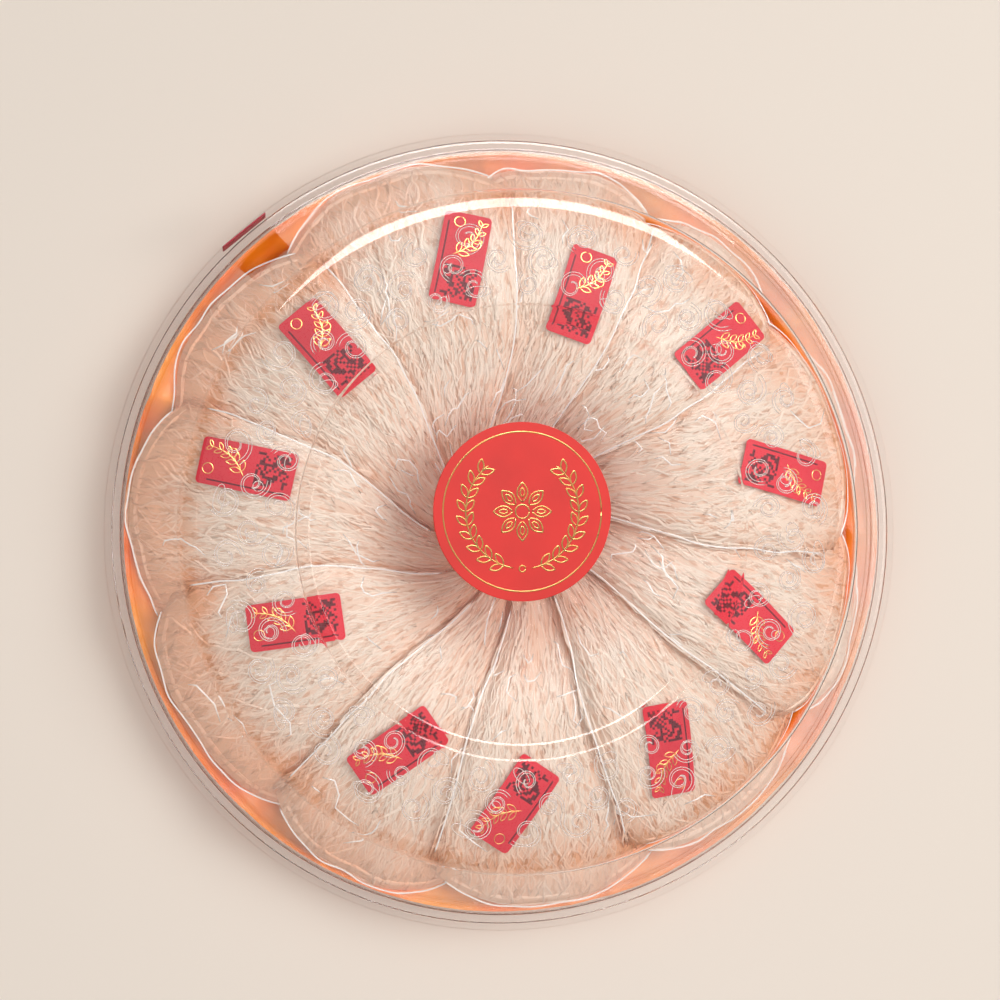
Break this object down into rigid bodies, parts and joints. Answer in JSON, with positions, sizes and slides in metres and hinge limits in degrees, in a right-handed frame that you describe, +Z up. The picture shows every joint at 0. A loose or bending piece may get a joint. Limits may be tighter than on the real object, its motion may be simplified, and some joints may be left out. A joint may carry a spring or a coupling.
{
  "type": "sealed gift box of edible birds nests",
  "caption": "Round clear gift box: a domed lid sealed to a shallow tray, with labelled birds nests of pale strands laid in a pinwheel on gold satin.",
  "frame": {"origin": "under the middle of the tray, on the surface that the box rests on", "axes": "+Z up through the lid, along the box's axis; +Y towards the side of the lid where the sticker sits a little off centre"},
  "size_m": [0.26, 0.26, 0.062],
  "materials": {
    "clear_plastic": "thin clear thermoformed sheet, glossy",
    "gold_satin": "gold satin over a soft bed, with folds along the wall",
    "nest_strands": "dried, translucent ivory strands in a clear film sleeve",
    "label_paper": "coated red paper with gold ornament",
    "sticker_paper": "coated red paper with gold ornament",
    "seal_paper": "coated red paper"
  },
  "bodies": {
    "root": {"tray": "clear_plastic", "lid": "clear_plastic", "lining": "gold_satin", "nest_01": "nest_strands", "nest_02": "nest_strands", "nest_03": "nest_strands", "nest_04": "nest_strands", "nest_05": "nest_strands", "nest_06": "nest_strands", "nest_07": "nest_strands", "nest_08": "nest_strands", "nest_09": "nest_strands", "nest_10": "nest_strands", "nest_11": "nest_strands", "label_01": "label_paper", "label_02": "label_paper", "label_03": "label_paper", "label_04": "label_paper", "label_05": "label_paper", "label_06": "label_paper", "label_07": "label_paper", "label_08": "label_paper", "label_09": "label_paper", "label_10": "label_paper", "label_11": "label_paper", "sticker": "sticker_paper", "seal": "seal_paper"}
  },
  "joints": []
}
